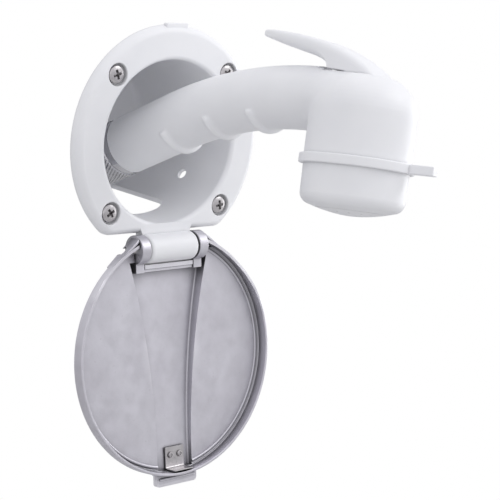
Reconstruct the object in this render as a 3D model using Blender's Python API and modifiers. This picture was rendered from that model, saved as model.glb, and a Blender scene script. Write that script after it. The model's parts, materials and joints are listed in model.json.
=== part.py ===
"""Recessed transom shower: a wall cup with a hinged metal lid and an elbow hand sprayer.

Frame: metres, +Z up, -Y out of the wall towards the user, +Y into the hull.
The origin is on the cup's axis, in the plane of the hull face that the flange is screwed to.
"""
import math

import bmesh
import bpy
from mathutils import Matrix, Vector

MM = 0.001

# ---- driving dimensions, millimetres ----
FLANGE_R = 63.5            # 5 in round flange
FLANGE_T = 6.0
FLANGE_CHORD = 49.5        # flat lower edge, below the axis
FLANGE_CORNER_R = 9.0
GASKET_T = 1.2
GAP = 0.3                  # left between pieces that touch
FACE = GASKET_T + GAP + FLANGE_T   # flange's front face, in front of the hull
MOUTH_R = 44.8
CUP_BACK_R = 42.0
CUP_DEPTH = 80.0           # from the flange's face to the back wall
CUP_WALL = 2.0
HOLE_X, HOLE_Z = 38.75, 37.0       # mounting screws
RECESS_R, RECESS_DEPTH = 6.15, 3.2
WINDOW_HALF, WINDOW_FRONT = 21.5, 26.0
DRAIN_R, DRAIN_DEPTH, DRAIN_ANGLE = 3.0, 32.4, -33.0

HINGE_Y, HINGE_Z = -9.3, -57.75    # lid hinge axis, along X
BARREL_R, BARREL_HALF = 8.0, 17.0
PIN_R, PIN_FIT = 2.0, 0.15
KNUCKLE_END = 23.4
LID_HANG = 7.8             # the open lid stands out from the wall by this angle, degrees
LID_R, LID_WALL = 66.9, 1.6
LID_DROP = 59.5            # hinge axis to the lid's centre
LID_LIP, LID_FLOOR, LID_SKIN = 7.5, 0.7, 2.0
CHANNEL_TOP, CHANNEL_END = 9.6, 126.0
LATCH_X, RIVET_X, RIVET_Z = 1.2, 3.2, -116.0
RIM_RELIEF_X, RIM_RELIEF_DROP = 48.0, 14.5   # the rim is lower here, to pass the flange's lower corners
SPRAYER_ROLL = 10.0        # the sprayer's plane leans from the cup's, degrees

GRIP_R, GRIP_BORE = 16.2, 10.0
GRIP_SLOPE, GRIP_LEVEL, GRIP_BEND = 25.0, 2.5, 262.0
GRIP_START = (3.0, 11.7)   # where the straight lower grip meets the bend: out, up
GRIP_TAIL = -34.8          # the grip's open end, out from the flange's face
RIB_PITCH, RIB_FIRST = 32.5, 4.0

HEAD_AT = (138.2, 8.0)     # point on the head's axis: out, up
HEAD_TILT = 5.3
HEAD_R, HEAD_TOP = 26.3, 43.2
COLLAR_R, COLLAR_T = 28.4, 4.8
TAB_REACH, TAB_HALF, TAB_TURN = 40.7, 3.0, 19.0
PIVOT_AT = (141.5, 49.0)   # trigger lever's pin: out, up
LEVER_PIN_R = 1.2
VALVE_SHIFT = 11.0         # valve axis, behind the head's axis
SMOOTH_ANGLE = math.radians(32)


# ---- scene, materials, helpers ----
for old in list(bpy.data.objects):
    bpy.data.objects.remove(old, do_unlink=True)

parts = bpy.data.collections.new("transom_shower")
tools = bpy.data.collections.new("cutters")
for group in (parts, tools):
    bpy.context.scene.collection.children.link(group)


def material(name, colour, roughness, metallic=0.0):
    mat = bpy.data.materials.new(name)
    mat.use_nodes = True
    bsdf = mat.node_tree.nodes["Principled BSDF"]
    bsdf.inputs["Base Color"].default_value = (*colour, 1.0)
    bsdf.inputs["Roughness"].default_value = roughness
    bsdf.inputs["Metallic"].default_value = metallic
    return mat


WHITE = material("white_plastic", (0.80, 0.80, 0.82), 0.35)
CAST = material("cast_metal", (0.50, 0.50, 0.52), 0.42, 1.0)
STEEL = material("stainless_steel", (0.62, 0.61, 0.59), 0.28, 1.0)
CHROME = material("chrome", (0.75, 0.75, 0.77), 0.12, 1.0)
RUBBER = material("black_rubber", (0.03, 0.03, 0.03), 0.8)
BRASS = material("brass", (0.65, 0.48, 0.22), 0.35, 1.0)


def finish(obj, mat=None, parent=None, tool=False):
    """Put an object in its collection, with its material and its parent."""
    (tools if tool else parts).objects.link(obj)
    if mat is not None:
        obj.data.materials.append(mat)
    if parent is not None:
        obj.parent = parent
    if tool:
        obj.hide_render = True
        obj.display_type = 'WIRE'
    return obj


def from_bmesh(name, bm, mat=None, parent=None, tool=False):
    mesh = bpy.data.meshes.new(name)
    bmesh.ops.recalc_face_normals(bm, faces=bm.faces)
    bm.to_mesh(mesh)
    bm.free()
    mesh.shade_smooth()
    mesh.set_sharp_from_angle(angle=SMOOTH_ANGLE)
    return finish(bpy.data.objects.new(name, mesh), mat, parent, tool)


def box(name, low, high, mat=None, parent=None, tool=False):
    """Box between two corners, in millimetres."""
    bm = bmesh.new()
    bmesh.ops.create_cube(bm, size=1.0)
    low, high = Vector(low) * MM, Vector(high) * MM
    size = high - low
    bmesh.ops.scale(bm, vec=size, verts=bm.verts)
    bmesh.ops.translate(bm, vec=(low + high) / 2, verts=bm.verts)
    return from_bmesh(name, bm, mat, parent, tool)


def cylinder(name, radius, start, end, mat=None, parent=None, tool=False, sides=32, radius2=None):
    """Cylinder or cone between two points, in millimetres."""
    start, end = Vector(start), Vector(end)
    along = end - start
    bm = bmesh.new()
    bmesh.ops.create_cone(
        bm, cap_ends=True, segments=sides, radius1=radius * MM,
        radius2=(radius if radius2 is None else radius2) * MM, depth=along.length * MM)
    turn = Vector((0, 0, 1)).rotation_difference(along).to_matrix().to_4x4()
    bmesh.ops.transform(bm, matrix=Matrix.Translation((start + end) / 2 * MM) @ turn, verts=bm.verts)
    return from_bmesh(name, bm, mat, parent, tool)


def turned(name, profile, mat=None, parent=None, tool=False, steps=64):
    """Turn a profile of (radius, height) points about Z. It runs down the outer side."""
    bm = bmesh.new()
    verts = [bm.verts.new((r * MM, 0.0, h * MM)) for r, h in profile]
    for a, b in zip(verts, verts[1:]):
        bm.edges.new((a, b))
    closed = profile[0][0] > 0
    if closed:
        bm.edges.new((verts[-1], verts[0]))
    mesh = bpy.data.meshes.new(name)
    bm.to_mesh(mesh)
    bm.free()
    obj = finish(bpy.data.objects.new(name, mesh), mat, parent, tool)
    screw = obj.modifiers.new("turn", 'SCREW')
    screw.axis = 'Z'
    screw.steps = steps
    screw.render_steps = steps
    screw.use_merge_vertices = True
    screw.merge_threshold = 0.00001
    screw.use_smooth_shade = True
    return obj


def loft(name, rings, mat=None, parent=None, tool=False):
    """Closed solid through rings of points with equal counts, in millimetres."""
    bm = bmesh.new()
    loops = [[bm.verts.new(Vector(p) * MM) for p in ring] for ring in rings]
    count = len(loops[0])
    for a, b in zip(loops, loops[1:]):
        for i in range(count):
            j = (i + 1) % count
            bm.faces.new((a[i], a[j], b[j], b[i]))
    bm.faces.new(loops[0])
    bm.faces.new(loops[-1])
    return from_bmesh(name, bm, mat, parent, tool)


def tube(name, points, radius, mat=None, parent=None, tool=False, resolution=6, radii=None):
    """Round bar along points, made a welded mesh so that it can be cut and joined."""
    curve = bpy.data.curves.new(name, 'CURVE')
    curve.dimensions = '3D'
    spline = curve.splines.new('POLY')
    spline.points.add(len(points) - 1)
    for i, point in enumerate(points):
        spline.points[i].co = (*(Vector(point) * MM), 1.0)
        spline.points[i].radius = 1.0 if radii is None else radii[i]
    curve.bevel_depth = radius * MM
    curve.bevel_resolution = resolution
    curve.use_fill_caps = True
    source = bpy.data.objects.new(name + "_curve", curve)
    bpy.context.scene.collection.objects.link(source)
    graph = bpy.context.evaluated_depsgraph_get()
    mesh = bpy.data.meshes.new_from_object(source.evaluated_get(graph))
    bpy.data.objects.remove(source, do_unlink=True)
    bm = bmesh.new()
    bm.from_mesh(mesh)
    bmesh.ops.remove_doubles(bm, verts=bm.verts, dist=0.00001)
    return from_bmesh(name, bm, mat, parent, tool)


def boolean(target, tool, operation):
    mod = target.modifiers.new(tool.name, 'BOOLEAN')
    mod.operation = operation
    mod.object = tool


def cut(target, *cutters):
    for tool in cutters:
        boolean(target, tool, 'DIFFERENCE')


def join(target, *others):
    for tool in others:
        boolean(target, tool, 'UNION')


def empty(name, location, rotation=(0.0, 0.0, 0.0), parent=None):
    """Empty at a joint's axis; location in millimetres, rotation in degrees."""
    obj = bpy.data.objects.new(name, None)
    parts.objects.link(obj)
    obj.location = Vector(location) * MM
    obj.rotation_euler = [math.radians(a) for a in rotation]
    obj.parent = parent
    return obj


def arc(centre, radius, start, end, count):
    """Points of an arc in a plane, angles in degrees, ends included."""
    step = (end - start) / (count - 1)
    return [(centre[0] + radius * math.cos(math.radians(start + i * step)),
             centre[1] + radius * math.sin(math.radians(start + i * step))) for i in range(count)]


# ---- housing: flange, cup and hinge barrel in one moulding ----
def flange_outline(radius, chord, corner, count=56):
    """Round outline with a flat lower chord and rounded corners, as (x, z) points."""
    reach = radius - corner
    corner_x = math.sqrt(reach ** 2 - (chord - corner) ** 2)
    corner_z = -(chord - corner)
    turn = math.degrees(math.atan2(corner_z, corner_x))
    points = arc((0, 0), radius, turn, 180 - turn, count)
    points += arc((-corner_x, corner_z), corner, 180 - turn, 270, 6)[1:]
    points += arc((corner_x, corner_z), corner, -90, turn, 6)[:-1]
    return points


def outline_prism(name, radius, chord, corner, front, back, **kind):
    """The flange outline as a block between two distances behind the hull plane."""
    outline = flange_outline(radius, chord, corner)
    rings = [[(x, y, z) for x, z in outline] for y in (front, back)]
    return loft(name, rings, **kind)


def build_housing():
    edge_r, lip_r = 4.6, 2.5
    back = FACE - CUP_DEPTH
    profile = [(0, back), (CUP_BACK_R, back), (MOUTH_R, FACE - lip_r)]
    profile += [(MOUTH_R + lip_r + r, FACE - lip_r + h) for r, h in arc((0, 0), lip_r, 180, 90, 4)[1:]]
    profile += [(FLANGE_R - edge_r + r, FACE - edge_r + h) for r, h in arc((0, 0), edge_r, 90, 0, 5)]
    profile += [(FLANGE_R, FACE - FLANGE_T), (MOUTH_R + CUP_WALL, FACE - FLANGE_T)]
    profile += [(CUP_BACK_R + CUP_WALL, back - CUP_WALL), (0, back - CUP_WALL)]
    housing = turned("housing", profile, WHITE, steps=60)
    housing.rotation_euler = (math.radians(90), 0, 0)

    trim = outline_prism("flange_trim", FLANGE_R + 1, FLANGE_CHORD, FLANGE_CORNER_R,
                         -FACE - 5, CUP_DEPTH + 5, tool=True)
    boolean(housing, trim, 'INTERSECT')
    barrel = cylinder("barrel", BARREL_R, (-BARREL_HALF, HINGE_Y, HINGE_Z), (BARREL_HALF, HINGE_Y, HINGE_Z),
                      tool=True, sides=40)
    neck = box("barrel_neck", (-BARREL_HALF, -FACE + 0.4, HINGE_Z), (BARREL_HALF, -GASKET_T - GAP - 0.3, -47.5),
               tool=True)
    catch = box("latch_catch", (LATCH_X - 7.5, -FACE + 0.5, 61.0), (LATCH_X + 7.5, -3.6, 65.0), tool=True)
    join(housing, barrel, neck, catch)

    window = box("hose_window", (-WINDOW_HALF, WINDOW_FRONT - FACE, -60),
                 (WINDOW_HALF, CUP_DEPTH - FACE - 0.5, -25), tool=True)
    rounding = window.modifiers.new("rounding", 'BEVEL')
    rounding.width = 8 * MM
    rounding.segments = 4
    rounding.limit_method = 'WEIGHT'
    weights = window.data.attributes.new("bevel_weight_edge", 'FLOAT', 'EDGE')
    for edge in window.data.edges:
        a, b = (window.data.vertices[i].co for i in edge.vertices)
        upright = abs(a.z - b.z) > 0.001
        weights.data[edge.index].value = 1.0 if upright and a.y < 0.03 else 0.0

    angle = math.radians(DRAIN_ANGLE)
    radial = Vector((math.cos(angle), 0, math.sin(angle)))
    centre = Vector((0, DRAIN_DEPTH - FACE, 0))
    drain = cylinder("drain_hole", DRAIN_R, centre + radial * 38, centre + radial * 52, tool=True, sides=24)
    pin_hole = cylinder("pin_hole", PIN_R + PIN_FIT, (-40, HINGE_Y, HINGE_Z), (40, HINGE_Y, HINGE_Z),
                        tool=True, sides=24)
    cut(housing, window, drain, pin_hole)
    for name, x, z in screw_places():
        recess = cylinder(name + "_recess", RECESS_R, (x, -FACE - 2, z), (x, RECESS_DEPTH - FACE, z), tool=True)
        hole = cylinder(name + "_hole", 2.6, (x, -FACE - 2, z), (x, 8, z), tool=True, sides=24)
        cut(housing, recess, hole)


def screw_places():
    for row, z in (("top", HOLE_Z), ("bottom", -HOLE_Z)):
        for side, x in (("left", -HOLE_X), ("right", HOLE_X)):
            yield f"screw_{row}_{side}", x, z


def build_gasket():
    gasket = outline_prism("flange_gasket", FLANGE_R - 0.8, FLANGE_CHORD - 0.2, FLANGE_CORNER_R,
                           -GASKET_T, 0, mat=RUBBER)
    bore = cylinder("gasket_bore", MOUTH_R + CUP_WALL + GAP, (0, -10, 0), (0, 10, 0), tool=True, sides=72)
    cut(gasket, bore)
    for name, x, z in screw_places():
        hole = cylinder(name + "_gasket_hole", 2.7, (x, -8, z), (x, 8, z), tool=True, sides=24)
        cut(gasket, hole)


def build_screws():
    """Pan-head screws with a cross recess, sunk in the flange's recesses."""
    head_h, shank_end = 2.6, 14.0
    seat = FACE - RECESS_DEPTH + GAP
    for name, x, z in screw_places():
        profile = [(0, head_h), (2.4, head_h - 0.15), (4.1, head_h - 0.75), (4.9, head_h - 1.7), (4.9, 0)]
        profile += [(2.2, 0), (2.2, -seat - shank_end + 3), (0, -seat - shank_end)]
        screw = turned(name, profile, STEEL, steps=20)
        screw.location = Vector((x, -seat, z)) * MM
        screw.rotation_euler = (math.radians(90), 0, 0)
        for i, spin in enumerate((20, 110)):
            blade = box(f"{name}_slot_{i}", (-2.5, -0.55, head_h - 1.5), (2.5, 0.55, head_h + 1), tool=True)
            blade.location = screw.location
            blade.rotation_euler = (math.radians(90), math.radians(spin), 0)
            cut(screw, blade)


# ---- lid, hanging open from its hinge ----
def channel_half(drop):
    """Half width of the tapered channel at a drop below the hinge axis."""
    return 12.7 + 14.5 * max(0.0, (115 - drop) / 107) ** 2


def channel_depth(drop):
    return 6.2 - 3.8 * (drop - CHANNEL_TOP) / (CHANNEL_END - CHANNEL_TOP)


def channel_loft(name, grow, front, extra, tops=0.0, ends=0.0):
    """Tapered wedge along the channel; grow widens it and extra deepens it."""
    rings = []
    for i in range(13):
        drop = CHANNEL_TOP - tops + (CHANNEL_END + ends - CHANNEL_TOP + tops) * i / 12
        half = channel_half(drop) + grow
        depth = -LID_FLOOR + channel_depth(drop) + extra
        rings.append([(-half, front, -drop), (half, front, -drop), (half - 0.6, depth, -drop),
                      (-half + 0.6, depth, -drop)])
    return loft(name, rings, parent=lid_axis, tool=True)


def build_lid():
    inner = LID_R - LID_WALL
    profile = [(0, LID_FLOOR), (inner - 2.5, LID_FLOOR), (inner - 0.7, LID_FLOOR + 0.7)]
    profile += [(inner, LID_FLOOR + 2.5), (inner, LID_LIP), (LID_R, LID_LIP), (LID_R, 1.6), (LID_R - 0.8, 0.2)]
    profile += [(LID_R - 2.3, -0.8), (LID_R - 4.2, LID_FLOOR - LID_SKIN), (0, LID_FLOOR - LID_SKIN)]
    lid = turned("lid", profile, CAST, lid_axis, steps=60)
    lid.location = Vector((0, 0, -LID_DROP)) * MM
    lid.rotation_euler = (math.radians(90), 0, 0)

    clear = BARREL_HALF + 0.4
    tab = loft("thumb_tab", [[(-14.5, y0, -LID_DROP - 64.3), (14.5, y0, -LID_DROP - 64.3),
                              (14.5, y0, -131.5), (12.5, y0, -132.8), (-12.5, y0, -132.8), (-14.5, y0, -131.5)]
                             for y0 in (-2.2, 1.2)], parent=lid_axis, tool=True)
    spine = channel_loft("spine", 1.8, -LID_FLOOR + 0.8, 1.8)
    join(lid, tab, spine)
    rim_gap = box("rim_gap", (-clear, -12, -CHANNEL_TOP), (clear, 12, 20), parent=lid_axis, tool=True)
    corner = box("floor_gap", (-KNUCKLE_END - 0.5, -12, -5), (KNUCKLE_END + 0.5, 12, 20), parent=lid_axis,
                 tool=True)
    channel = channel_loft("channel", 0, -LID_FLOOR - 3.0, 0, tops=3)
    rim_inside = cylinder("rim_inside", inner - 0.4, (0, -20, -LID_DROP), (0, 20, -LID_DROP),
                          parent=lid_axis, tool=True, sides=60)
    boolean(channel, rim_inside, 'INTERSECT')
    relief = box("rim_relief", (-RIM_RELIEF_X, -12, -RIM_RELIEF_DROP), (RIM_RELIEF_X, -5.7, 20), parent=lid_axis,
                 tool=True)
    cut(lid, rim_gap, corner, relief, channel)
    for side, sign in (("left", -1), ("right", 1)):
        inside, outside = sign * clear, sign * KNUCKLE_END
        knuckle = cylinder(f"knuckle_{side}", BARREL_R, (inside, 0, 0), (outside, 0, 0),
                           parent=lid_axis, tool=True, sides=40)
        low, high = min(inside, outside), max(inside, outside)
        arm = box(f"arm_{side}", (low + 0.1, -1.3, -16), (high - 0.1, 6.6, -3), parent=lid_axis, tool=True)
        join(lid, knuckle, arm)
    sill = box("sill", (-clear - 0.5, -1.2, -12.4), (clear + 0.5, 5.4, -10.4), parent=lid_axis, tool=True)
    join(lid, sill)
    pin_hole = cylinder("lid_pin_hole", PIN_R + PIN_FIT, (-40, 0, 0), (40, 0, 0), parent=lid_axis, tool=True,
                        sides=24)
    cut(lid, pin_hole)


def build_hinge_pin():
    cylinder("hinge_pin", PIN_R, (-KNUCKLE_END + 0.4, HINGE_Y, HINGE_Z), (KNUCKLE_END - 0.4, HINGE_Y, HINGE_Z),
             STEEL, sides=24)


def build_latch():
    """Spring-steel clip riveted in the foot of the channel, turned up along the rim."""
    half, thick = 6.5, 0.6
    floor = -LID_FLOOR + channel_depth(116.0)
    wall = LID_DROP + LID_R - LID_WALL
    seat = floor - 1.3
    left, right = LATCH_X - half, LATCH_X + half
    spring = box("latch_spring", (left, seat, -wall + 1.5), (right, seat + thick, -111.5), STEEL, lid_axis)
    upright = box("latch_upright", (left, -7.2, -wall + 0.9), (right, seat + thick, -wall + 1.6),
                  parent=lid_axis, tool=True)
    nib = box("latch_nib", (left, -7.2, -wall + 1.2), (right, -6.4, -wall + 1.9), parent=lid_axis, tool=True)
    join(spring, upright, nib)
    for side, x in (("left", LATCH_X - RIVET_X), ("right", LATCH_X + RIVET_X)):
        for name, piece in ((f"latch_hole_{side}", spring), (f"rivet_socket_{side}", bpy.data.objects["lid"])):
            hole = cylinder(name, 1.0, (x, -10, RIVET_Z), (x, 10, RIVET_Z), parent=lid_axis, tool=True, sides=16)
            cut(piece, hole)
        profile = [(0, 1.0), (1.0, 0.8), (1.7, 0.2), (1.7, 0), (0.7, 0), (0.7, -3.6), (0, -3.6)]
        rivet = turned(f"latch_rivet_{side}", profile, STEEL, lid_axis, steps=20)
        rivet.location = Vector((x, seat - GAP, RIVET_Z)) * MM
        rivet.rotation_euler = (math.radians(90), 0, 0)


# ---- hand sprayer; x is across it, y is back along it, z is up it ----
def grip_point(out):
    """Centre of the grip at a distance out from the flange: (out, up, slope)."""
    start_out, start_up = GRIP_START
    slope, level = math.radians(GRIP_SLOPE), math.radians(GRIP_LEVEL)
    bend_out = GRIP_BEND * (math.sin(slope) - math.sin(level))
    if out <= start_out:
        return out, start_up + (out - start_out) * math.tan(slope), slope
    if out >= start_out + bend_out:
        up = start_up + GRIP_BEND * (math.cos(level) - math.cos(slope))
        return out, up + (out - start_out - bend_out) * math.tan(level), level
    here = math.asin(math.sin(slope) - (out - start_out) / GRIP_BEND)
    return out, start_up + GRIP_BEND * (math.cos(here) - math.cos(slope)), here


def grip_path(start, end, count):
    path = []
    for i in range(count):
        out, up, _ = grip_point(start + (end - start) * i / (count - 1))
        path.append((0, -out, up))
    return path


def build_sprayer_body():
    body = tube("sprayer_body", grip_path(GRIP_TAIL, HEAD_AT[0] - 8, 16), GRIP_R, WHITE, sprayer_frame,
                resolution=10)
    profile = [(0, HEAD_TOP), (10, HEAD_TOP)]
    profile += [(10 + r, HEAD_TOP - 16.3 + h) for r, h in arc((0, 0), 16.3, 90, 0, 7)[1:]]
    profile += [(HEAD_R, COLLAR_T / 2 + GAP + 0.2), (0, COLLAR_T / 2 + GAP + 0.2)]
    head = turned("head_form", profile, parent=head_axis, tool=True, steps=44)
    join(body, head)
    for i in range(3):
        out, up, slope = grip_point(RIB_FIRST + i * RIB_PITCH)
        ring = []
        for step in range(9):
            a = math.radians(-150 + 120 * step / 8)
            across, down = 14.9 * math.cos(a), 14.9 * math.sin(a)
            ring.append((across, -out + down * math.sin(slope), up + down * math.cos(slope)))
        taper = [0.6 if k in (0, 8) else 1.0 for k in range(9)]
        rib = tube(f"finger_rib_{i}", ring, 2.9, parent=sprayer_frame, tool=True, resolution=2, radii=taper)
        join(body, rib)
    chamber = turned("chamber", [(0, 35.5), (19, 35.5), (19, 16), (22, 16), (22, -5), (0, -5)],
                     parent=head_axis, tool=True, steps=32)
    bore = tube("grip_bore", grip_path(GRIP_TAIL - 5, HEAD_AT[0] - 12, 12), GRIP_BORE, parent=sprayer_frame,
                tool=True, resolution=4)
    socket_start, _, along = tail_axis(-15)
    socket = cylinder("inlet_socket", 12.8, socket_start, socket_start + along * 20, parent=sprayer_frame,
                      tool=True, sides=48)
    pocket = box("lever_pocket", (-9.2, -PIVOT_AT[0] - 5, 46.0), (9.2, -105, 60), parent=sprayer_frame,
                 tool=True)
    stem_hole = cylinder("stem_hole", 2.4, (0, VALVE_SHIFT, 30), (0, VALVE_SHIFT, 60), parent=head_axis,
                         tool=True, sides=20)
    pin_hole = cylinder("lever_pin_hole", LEVER_PIN_R + 0.2, (-11.6, -PIVOT_AT[0], PIVOT_AT[1]),
                        (11.6, -PIVOT_AT[0], PIVOT_AT[1]), parent=sprayer_frame, tool=True, sides=20)
    cut(body, chamber, bore, socket, pocket, stem_hole, pin_hole)


def tail_axis(distance):
    """Point on the grip's axis beyond its open end, the end point, and the outward direction."""
    out, up, slope = grip_point(GRIP_TAIL)
    end = Vector((0, -out, up))
    along = Vector((0, math.cos(slope), -math.sin(slope)))
    return end + along * distance, end, along


def build_nose():
    """Screwed-on nose: threaded spigot, collar with a turning tab, skirt and domed end."""
    half = COLLAR_T / 2
    profile = [(18.5, 9.8), (21.6, 9.8), (21.6, half), (26.0, half - 0.5), (25.8, -16)]
    profile += [(25.8 - 6 + r, -16 + h) for r, h in arc((0, 0), 6, 0, -65, 5)[1:]]
    profile += [(17.3, -22.9), (17.3, -20.4), (19.3, -18.5), (19.3, 0)]
    nose = turned("nose_cap", profile, WHITE, head_axis, steps=44)
    collar = cylinder("collar_form", COLLAR_R, (0, 0, -half), (0, 0, half), parent=head_axis, tool=True, sides=56)
    tab = box("tab_form", (-TAB_HALF, -TAB_REACH, -half), (TAB_HALF, -23, half), parent=head_axis, tool=True)
    tab.rotation_euler.z = math.radians(TAB_TURN)
    hollow = cylinder("collar_bore", 20, (0, 0, -10), (0, 0, 10), parent=head_axis, tool=True, sides=48)
    cut(collar, hollow)
    join(nose, collar, tab)


def build_spray_face():
    """Domed rose with two rings of jets."""
    dome = [(0, -20.6), (17, -20.6), (17, -23.1), (9, -24.7), (0, -25.4)]
    face = turned("spray_face", dome, WHITE, head_axis, steps=40)
    for ring_no, (count, radius) in enumerate(((6, 5.2), (12, 11.7))):
        for i in range(count):
            a = 2 * math.pi * (i + 0.3) / count
            x, y = radius * math.cos(a), radius * math.sin(a)
            jet = cylinder(f"jet_{ring_no}_{i}", 0.8, (x, y, -30), (x, y, -15), parent=head_axis, tool=True,
                           sides=6)
            cut(face, jet)


def ring(name, outer, inner, low, high, mat, parent, steps=24):
    return turned(name, [(inner, high), (outer, high), (outer, low), (inner, low)], mat, parent, steps=steps)


def build_valve():
    seat = ring("valve_seat", 21.7, 0.5, 12.9, 15.7, BRASS, head_axis, steps=40)
    port = cylinder("seat_port", 4.0, (0, VALVE_SHIFT, 0), (0, VALVE_SHIFT, 30), parent=head_axis, tool=True,
                    sides=24)
    cut(seat, port)
    oring = [(19.6 + 1.15 * math.cos(t), 11.3 + 1.15 * math.sin(t))
             for t in (math.radians(-60 * k) for k in range(6))]
    turned("nose_seal", oring, RUBBER, head_axis, steps=28)

    top = 43.6
    stem = [(0, top), (1.6, top), (2.0, top - 0.4), (2.0, 32.4), (4.4, 32.4), (4.4, 31.2), (2.0, 31.2)]
    stem += [(2.0, 10.3), (5.0, 10.3), (5.0, 8.6), (3.0, 7.0), (0, 7.0)]
    plunger = turned("valve_plunger", stem, BRASS, head_axis, steps=24)
    plunger.location = Vector((0, VALVE_SHIFT, 0)) * MM
    washer = ring("valve_washer", 5.0, 2.2, 10.6, 12.6, RUBBER, head_axis, steps=24)
    washer.location = Vector((0, VALVE_SHIFT, 0)) * MM

    turns, wire, radius, low, high = 5, 0.45, 3.3, 16.5, 30.4
    coil = []
    for k in range(turns * 12 + 1):
        a = 2 * math.pi * k / 12
        coil.append((radius * math.cos(a), VALVE_SHIFT + radius * math.sin(a),
                     low + (high - low) * k / (turns * 12)))
    tube("return_spring", coil, wire, STEEL, head_axis, resolution=1)


def build_lever():
    """Trigger lever: a curved wedge over the grip, pinned at the front of the head."""
    top = [(61.5, 66.6), (68, 67.2), (78, 67.1), (89, 66.5), (100, 65.6), (111, 63.9), (122, 61.2), (130, 58.7),
           (137, 55.6), (144.8, 51.0)]
    under = [(62.5, 63.4), (70, 61.9), (80, 60.1), (91, 58.4), (101, 57.0), (110, 54.8), (113.5, 51.2),
             (125, 50.9), (136, 47.4), (144, 46.6)]
    rings = []
    for i, ((out_a, up_a), (out_b, up_b)) in enumerate(zip(top, under)):
        half = 5.0 + 3.7 * min(1.0, i / 3)
        rings.append([(-half, -out_b, up_b), (half, -out_b, up_b), (half, -out_a, up_a - 1.2),
                      (half - 1.8, -out_a, up_a), (-half + 1.8, -out_a, up_a), (-half, -out_a, up_a - 1.2)])
    lever = loft("trigger_lever", rings, WHITE, lever_axis)
    lever.location = Vector((0, PIVOT_AT[0], -PIVOT_AT[1])) * MM
    hole = cylinder("lever_hole", LEVER_PIN_R + 0.2, (-20, 0, 0), (20, 0, 0), parent=lever_axis, tool=True,
                    sides=20)
    cut(lever, hole)
    cylinder("lever_pivot_pin", LEVER_PIN_R, (-11.3, -PIVOT_AT[0], PIVOT_AT[1]),
             (11.3, -PIVOT_AT[0], PIVOT_AT[1]), STEEL, sprayer_frame, sides=20)


def build_inlet():
    """Hose inlet at the grip's end; +Z of the tail empty points out of the grip."""
    profile = [(12.5, -0.3), (12.5, -14), (6, -14), (6, 16), (9.5, 16), (9.5, 6.8), (10.6, 6.8), (10.6, -0.3)]
    turned("inlet_spigot", profile, CHROME, tail, steps=24)
    nut = [(11.2, 0.6), (11.2, 9.8), (9.9, 9.8), (9.9, 17), (13.2, 17), (13.2, 26), (15.4, 26), (16.4, 24.8),
           (16.4, 6.8), (15.7, 6.0), (15.7, 0.6)]
    turned("coupling_nut", nut, CHROME, tail, steps=32)
    ring("retaining_ring", 11.0, 9.8, 7.4, 9.2, STEEL, tail)
    ring("hose_washer", 9.2, 5.0, 16.4, 18.4, RUBBER, tail)


build_housing()
build_gasket()
build_screws()
lid_axis = empty("lid_axis", (0, HINGE_Y, HINGE_Z), (-LID_HANG, 0, 0))
build_lid()
build_hinge_pin()
build_latch()

sprayer_frame = empty("sprayer_frame", (0, -FACE, 0), (0, SPRAYER_ROLL, 0))
head_axis = empty("head_axis", (0, -HEAD_AT[0], HEAD_AT[1]), (-HEAD_TILT, 0, 0), sprayer_frame)
lever_axis = empty("lever_axis", (0, -PIVOT_AT[0], PIVOT_AT[1]), parent=sprayer_frame)
tail_point = tail_axis(0)[0]
tail = empty("tail_axis", tail_point, (-90 - GRIP_SLOPE, 0, 0), sprayer_frame)
build_sprayer_body()
build_nose()
build_spray_face()
build_valve()
build_lever()
build_inlet()
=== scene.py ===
"""Looks of the recessed transom shower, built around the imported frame.

Lengths are millimetres in each piece's own frame, and metres once a piece is made.
"""
import json
import math

import bmesh
import bpy
import numpy as np
from mathutils import Matrix, Vector

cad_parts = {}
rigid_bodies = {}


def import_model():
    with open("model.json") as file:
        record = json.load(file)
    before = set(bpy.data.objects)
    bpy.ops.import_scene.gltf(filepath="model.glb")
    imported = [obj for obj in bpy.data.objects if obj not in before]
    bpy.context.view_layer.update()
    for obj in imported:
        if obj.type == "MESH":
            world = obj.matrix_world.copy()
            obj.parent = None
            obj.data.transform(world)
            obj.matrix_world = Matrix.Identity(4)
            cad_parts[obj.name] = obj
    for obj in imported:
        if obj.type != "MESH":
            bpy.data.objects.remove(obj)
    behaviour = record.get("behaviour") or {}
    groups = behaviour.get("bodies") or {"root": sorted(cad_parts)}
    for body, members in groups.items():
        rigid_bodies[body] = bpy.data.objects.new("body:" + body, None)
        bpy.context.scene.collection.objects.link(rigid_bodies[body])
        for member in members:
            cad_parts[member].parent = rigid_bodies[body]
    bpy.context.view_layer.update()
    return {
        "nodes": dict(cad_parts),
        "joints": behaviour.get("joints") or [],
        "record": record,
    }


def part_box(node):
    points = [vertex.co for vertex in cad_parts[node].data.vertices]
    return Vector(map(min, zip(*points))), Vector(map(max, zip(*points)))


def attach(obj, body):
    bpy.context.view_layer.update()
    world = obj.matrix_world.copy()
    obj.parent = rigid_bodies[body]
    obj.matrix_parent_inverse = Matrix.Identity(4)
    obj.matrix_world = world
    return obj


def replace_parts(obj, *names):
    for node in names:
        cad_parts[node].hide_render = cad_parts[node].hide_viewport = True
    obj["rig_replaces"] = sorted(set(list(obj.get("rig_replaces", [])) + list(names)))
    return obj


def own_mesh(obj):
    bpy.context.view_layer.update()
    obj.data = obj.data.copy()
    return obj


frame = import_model()
MM = 0.001
joints = {joint["name"]: joint for joint in frame["joints"]}

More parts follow.
